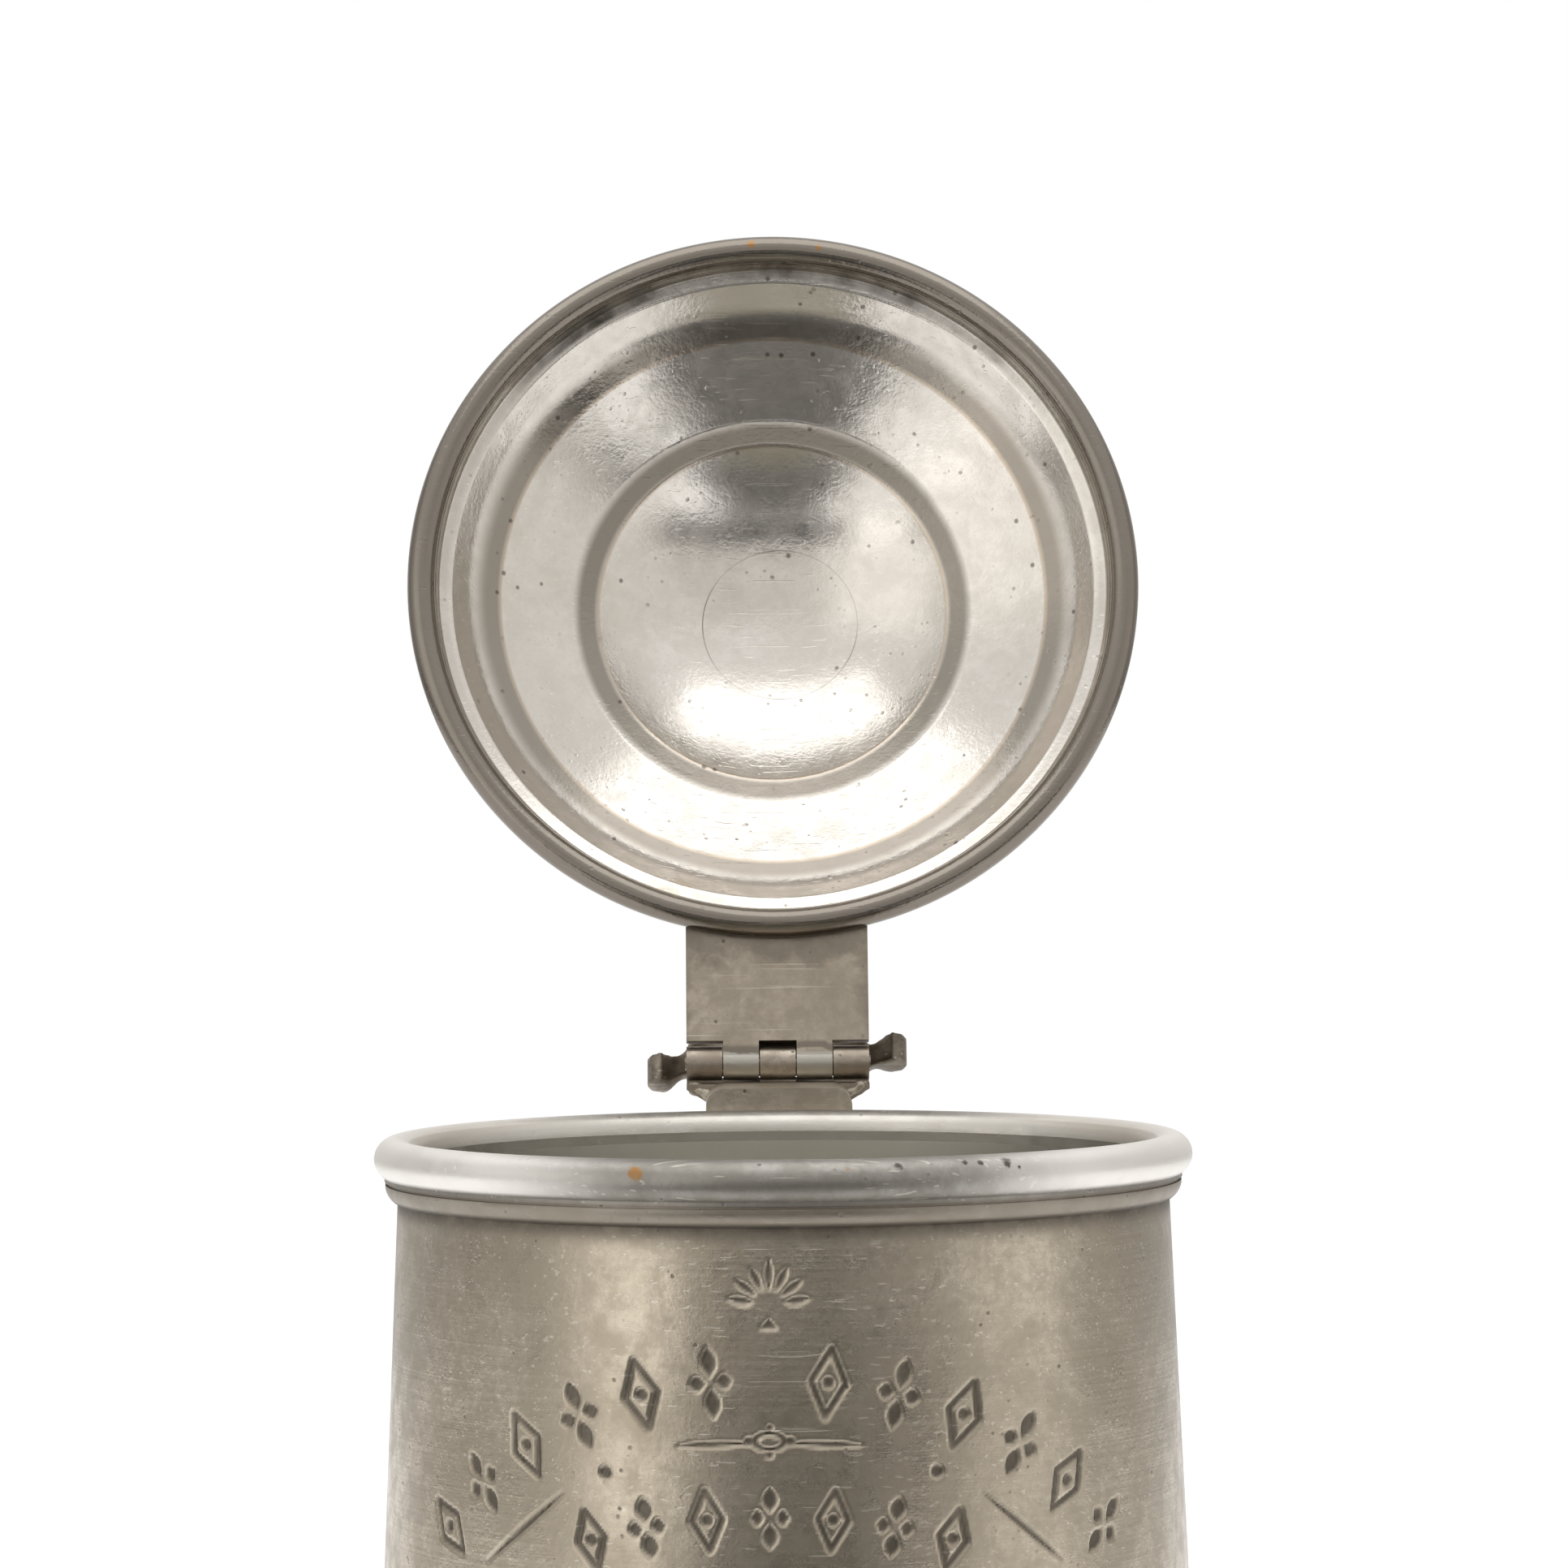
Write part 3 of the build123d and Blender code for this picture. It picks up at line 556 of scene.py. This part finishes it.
def finished(mesh, name, sharp):
    """Weld what lies on the axis, face everything outwards, and shade it."""
    work = bmesh.new()
    work.from_mesh(mesh)
    bmesh.ops.remove_doubles(work, verts=work.verts, dist=2e-6)
    bmesh.ops.recalc_face_normals(work, faces=work.faces)
    work.to_mesh(mesh)
    work.free()
    mesh.shade_smooth()
    mesh.set_sharp_from_angle(angle=math.radians(sharp))
    piece = bpy.data.objects.new(name, mesh)
    bpy.context.collection.objects.link(piece)
    return piece


def made(piece, paint, body, slot, *nodes):
    """Give a piece its finish and body, in place of the CAD nodes it stands for."""
    piece.data.materials.clear()
    piece.data.materials.append(paints[paint])
    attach(piece, body)
    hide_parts(*nodes)


# ---- turned lid: radii from the bead's middle and depths from its plane, as in the CAD ----
LID_BEAD = 2.09
LID_MIDDLE = 53.1
INSIDE = [(-2.6, 1.9, 0.3), (-4.4, 2.5, 0.35), (-7.6, 6.1, 1.6), (-11.5, 8.2, 0.5),
          (-17.0, 11.7, 4.0), (-22.4, 14.8, 0.35), (-26.2, 15.8, 0.35)]
OUTSIDE = [(-25.4, 17.6, 0.8), (-21.6, 16.6, 0.8), (-16.1, 13.4, 4.0), (-10.6, 9.9, 0.9),
           (-6.4, 7.6, 1.6), (-3.3, 4.1, 0.5), (-2.0, 3.7, 0.3)]
DOME_TOP, DOME_TOP_OUTSIDE = 24.6, 26.49


def bead_arc():
    angles = np.radians(np.linspace(115, -192, 60))
    return [(LID_BEAD * math.cos(a), LID_BEAD * math.sin(a)) for a in angles]


def dome_arc(edge, top):
    """Points from the middle of a dome out to its edge."""
    out = edge[0] + LID_MIDDLE
    drop = top - edge[1]
    ball = (out ** 2 + drop ** 2) / (2 * drop)
    spread = math.asin(out / ball)
    return [(ball * math.sin(a) - LID_MIDDLE, top - ball + ball * math.cos(a))
            for a in np.linspace(0.0, spread, 48)[:-1]]


def rounded(corners, before, after):
    """Corners eased over their own lengths, between a point before and one after."""
    chain = [before] + [c[:2] for c in corners] + [after]
    points = []
    for index, (x, y, ease) in enumerate(corners, 1):
        here = np.array((x, y))
        ends = []
        for other in (chain[index - 1], chain[index + 1]):
            way = np.array(other) - here
            length = np.hypot(*way)
            ends.append(here + way / length * min(ease, 0.45 * length))
        for t in np.linspace(0.0, 1.0, 7):
            points.append(tuple((1 - t) ** 2 * ends[0] + 2 * t * (1 - t) * here
                                + t * t * ends[1]))
    return points


def turned_lid():
    bead = bead_arc()
    inner_dome = dome_arc(INSIDE[-1], DOME_TOP)
    outer_dome = dome_arc(OUTSIDE[0], DOME_TOP_OUTSIDE)
    inner = rounded(INSIDE, bead[-1], inner_dome[-1])
    outer = rounded(OUTSIDE, outer_dome[-1], bead[0])
    profile = np.array(bead + inner + inner_dome[::-1] + outer_dome + outer)
    turns = np.linspace(0.0, 2.0 * math.pi, 257)[:-1]
    radius = np.maximum(profile[:, :1] + LID_MIDDLE, 0.0)
    tall = np.repeat(profile[:, 1:], len(turns), axis=1)
    points = np.stack([radius * np.sin(turns), -radius * np.cos(turns), tall], axis=-1) * MM
    points[..., 2] += LID_PLANE
    opening = np.array(Matrix.Rotation(-LID_OPEN, 3, "X"))
    points = (points - hinge_centre) @ opening.T + np.array(hinge_centre)
    outside = np.zeros(points.shape[:2])
    outside[-len(outer_dome) - len(outer):] = 1.0
    return lattice("lid_turned", points, np.zeros(points.shape[:2]), outside)


# ---- cast thumbpiece and solder: solids softened, the wings bent and scooped ----
def softened(name, source, voxel, passes):
    """Copy of a CAD node's mesh, remeshed and smoothed into a cast form."""
    piece = bpy.data.objects.new(name, source.data.copy())
    bpy.context.collection.objects.link(piece)
    remesh = piece.modifiers.new("remesh", "REMESH")
    remesh.mode = "VOXEL"
    remesh.voxel_size = voxel
    ease = piece.modifiers.new("ease", "SMOOTH")
    ease.factor, ease.iterations = 0.5, passes
    graph = bpy.context.evaluated_depsgraph_get()
    mesh = bpy.data.meshes.new_from_object(piece.evaluated_get(graph))
    piece.modifiers.clear()
    piece.data = mesh
    return piece


def cast_thumbpiece():
    piece = softened("thumbpiece_cast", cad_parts["thumbpiece"], 0.33 * MM, 9)
    mesh = piece.data
    points = np.empty(len(mesh.vertices) * 3, dtype=np.float32)
    mesh.vertices.foreach_get("co", points)
    points = points.reshape(-1, 3).astype(float)
    low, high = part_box("thumbpiece")
    side, wide = np.sign(points[:, 0]), np.abs(points[:, 0]) / MM
    middle = hinge_centre.z
    waist = np.exp(-((wide - 14.6) / 1.5) ** 2)
    tip = smooth((wide - 12.0) / 5.0)
    points[:, 2] = middle + (points[:, 2] - middle) * (1.0 - 0.26 * waist)
    points[:, 2] += np.where(side < 0, -1.9, 0.9) * tip * MM
    face = smooth((high.y - points[:, 1]) / (high.y - low.y) * 2.0 - 1.0)
    scoop = np.exp(-((wide - 16.4) / 1.7) ** 2)
    points[:, 1] += 1.3 * MM * scoop * face
    behind = smooth((wide - 6.5) / 1.5) * smooth((13.9 - wide) / 1.0)
    upper = smooth((points[:, 2] - middle) / (2.0 * MM))
    points[:, 2] += 1.2 * MM * behind * upper
    mesh.vertices.foreach_set("co", points.astype(np.float32).ravel())
    mesh.update()
    mesh.shade_smooth()
    return piece


def solder_lumps():
    """Uneven solder run under the knuckles and down the sides of the arm."""
    work = bmesh.new()
    rng = np.random.default_rng(7)
    for side in (-1, 1):
        for t in np.linspace(0.0, 1.0, 9):
            middle = Vector((side * (12.3 - 2.9 * t), 71.4 - 1.0 * t, 145.3 - 1.7 * t))
            middle += Vector(rng.uniform(-0.22, 0.22, 3))
            size = 1.25 - 0.35 * t + rng.uniform(-0.12, 0.12)
            shape = (Matrix.Translation(middle * MM)
                     @ Matrix.Diagonal((size * MM, 1.15 * size * MM, 0.72 * size * MM, 1.0)))
            bmesh.ops.create_icosphere(work, subdivisions=3, radius=1.0, matrix=shape)
    mesh = bpy.data.meshes.new("solder_lumps")
    work.to_mesh(mesh)
    work.free()
    rough = bpy.data.objects.new("solder_rough", mesh)
    piece = softened("solder_lumps", rough, 0.28 * MM, 4)
    bpy.data.objects.remove(rough)
    piece.data.shade_smooth()
    return piece


made(engraved_drum(), "drum", "tankard", "pewter_drum", "drum")
made(turned_lid(), "lid_cover", "lid", "pewter_lid", "lid_cover")
made(cast_thumbpiece(), "thumbpiece", "lid", "pewter_thumbpiece", "thumbpiece")
made(solder_lumps(), "hinge_solder", "tankard", "solder", "hinge_solder")


# ---- stage ----
def shown_white(name, colour, glow):
    """Pale floor whose own glow for camera, mirror and glass rays makes it read as white."""
    material = bpy.data.materials.new(name)
    material.use_nodes = True
    nodes, links = material.node_tree.nodes, material.node_tree.links
    nodes.clear()
    out = nodes.new("ShaderNodeOutputMaterial")
    both = nodes.new("ShaderNodeAddShader")
    matt = nodes.new("ShaderNodeBsdfDiffuse")
    matt.inputs["Color"].default_value = rgb(colour, colour, colour)
    light = nodes.new("ShaderNodeEmission")
    links.new(seen(nodes, links, glow, 0.0), light.inputs["Strength"])
    links.new(matt.outputs[0], both.inputs[0])
    links.new(light.outputs[0], both.inputs[1])
    links.new(both.outputs[0], out.inputs["Surface"])
    return material


def seen(nodes, links, strength, otherwise):
    """Strength for camera, glossy and transmission rays, and another for the rest."""
    path = nodes.new("ShaderNodeLightPath")
    value = path.outputs["Is Camera Ray"]
    for name in ("Is Glossy Ray", "Is Transmission Ray"):
        larger = nodes.new("ShaderNodeMath")
        larger.operation = "MAXIMUM"
        links.new(value, larger.inputs[0])
        links.new(path.outputs[name], larger.inputs[1])
        value = larger.outputs[0]
    spread = nodes.new("ShaderNodeMapRange")
    links.new(value, spread.inputs[0])
    spread.inputs[3].default_value = otherwise
    spread.inputs[4].default_value = strength
    return spread.outputs[0]


def panel(name, corners, material):
    mesh = bpy.data.meshes.new(name)
    mesh.from_pydata(corners, [], [tuple(range(len(corners)))])
    piece = bpy.data.objects.new(name, mesh)
    mesh.materials.append(material)
    bpy.context.collection.objects.link(piece)
    return piece


def glowing(name, strength):
    material = bpy.data.materials.new(name)
    material.use_nodes = True
    nodes = material.node_tree.nodes
    nodes.clear()
    light = nodes.new("ShaderNodeEmission")
    light.inputs["Color"].default_value = rgb(1.0, 0.985, 0.96)
    light.inputs["Strength"].default_value = strength
    out = nodes.new("ShaderNodeOutputMaterial")
    material.node_tree.links.new(light.outputs[0], out.inputs["Surface"])
    return material


def only_in_mirrors(piece):
    piece.visible_camera = False
    piece.visible_diffuse = False
    piece.visible_transmission = False
    piece.visible_shadow = False


FLOOR = 9.0                     # half the width of the floor
FLOOR_COLOUR, FLOOR_GLOW = 0.82, 0.42
panel("floor", [(-FLOOR, -FLOOR, 0), (FLOOR, -FLOOR, 0), (FLOOR, FLOOR, 0),
                (-FLOOR, FLOOR, 0)], shown_white("floor_white", FLOOR_COLOUR, FLOOR_GLOW))

# The studio round the object as its metal sees it: softboxes and the dark room between.
# Each entry is an angle round from straight in front, and how bright the room is there.
ROOM = [(-180, 0.80), (-150, 0.62), (-112, 0.40), (-92, 0.40), (-72, 0.48), (-60, 0.80),
        (-54, 1.65), (-36, 1.65), (-29, 0.45), (-18, 0.10), (10, 0.05), (42, 0.12),
        (56, 0.98), (80, 0.98), (94, 0.50), (140, 0.52), (180, 0.80)]
ROOM_ABOVE = [(-180, 0.85), (-112, 0.55), (-84, 0.85), (-60, 1.36), (-32, 1.30), (-16, 0.84),
              (24, 0.78), (50, 0.90), (84, 0.96), (100, 0.60), (180, 0.85)]
WALL_RADIUS = 1.15
LOW_WALL, HIGH_WALL = 0.20, 0.95
PANELS = 72
CARD_GLOW = 0.20
WORLD_SEEN, WORLD_LIGHT = 1.0, 0.72


def room_brightness(levels, angle):
    return float(np.interp(angle, [a for a, _ in levels], [b for _, b in levels]))


def room():
    """Panels all round, only seen in the metal: a low band and a lighter one above it."""
    bands = (("low", ROOM, 0.0, LOW_WALL), ("high", ROOM_ABOVE, LOW_WALL, HIGH_WALL))
    for band, levels, bottom, top in bands:
        for index in range(PANELS):
            start = -180 + 360 // PANELS * index
            end = start + 360 // PANELS
            ends = [(WALL_RADIUS * math.sin(math.radians(a)),
                     -WALL_RADIUS * math.cos(math.radians(a))) for a in (start, end)]
            corners = [(*ends[0], bottom), (*ends[1], bottom), (*ends[1], top),
                       (*ends[0], top)]
            name = "room_%s_%02d" % (band, index)
            light = glowing(name, room_brightness(levels, (start + end) / 2))
            only_in_mirrors(panel(name, corners, light))


room()
table_card = panel("table_card", [(-0.26, -0.95, 0.001), (0.26, -0.95, 0.001),
                                  (0.26, -0.20, 0.001), (-0.26, -0.20, 0.001)],
                   glowing("table_card", CARD_GLOW))
only_in_mirrors(table_card)

lamp = bpy.data.lights.new("overhead", "AREA")
lamp.shape = "RECTANGLE"
lamp.size, lamp.size_y, lamp.energy = 2.0, 1.6, 11.0
overhead = bpy.data.objects.new("overhead", lamp)
overhead.location = (-0.1, -0.15, 1.8)
bpy.context.collection.objects.link(overhead)

world = bpy.data.worlds.new("studio")
bpy.context.scene.world = world
world.use_nodes = True
ground = world.node_tree.nodes["Background"]
ground.inputs["Color"].default_value = rgb(1.0, 1.0, 1.0)
world.node_tree.links.new(
    seen(world.node_tree.nodes, world.node_tree.links, WORLD_SEEN, WORLD_LIGHT),
    ground.inputs["Strength"])

# ---- camera ----
DISTANCE = 0.739
EYE = Vector((-0.007, -DISTANCE, 0.190))
AIM = math.atan2(0.0075, DISTANCE)
ROLL = math.radians(-0.45)
data = bpy.data.cameras.new("camera")
data.lens = 125.96
data.sensor_width = 36.0
data.clip_start, data.clip_end = 0.01, 60.0
camera = bpy.data.objects.new("camera", data)
camera.matrix_world = (
    Matrix.Translation(EYE) @ Matrix.Rotation(-AIM, 4, "Z")
    @ Matrix.Rotation(math.pi / 2, 4, "X") @ Matrix.Rotation(ROLL, 4, "Z"))
bpy.context.collection.objects.link(camera)
scene = bpy.context.scene
scene.camera = camera
scene.view_settings.view_transform = "Standard"
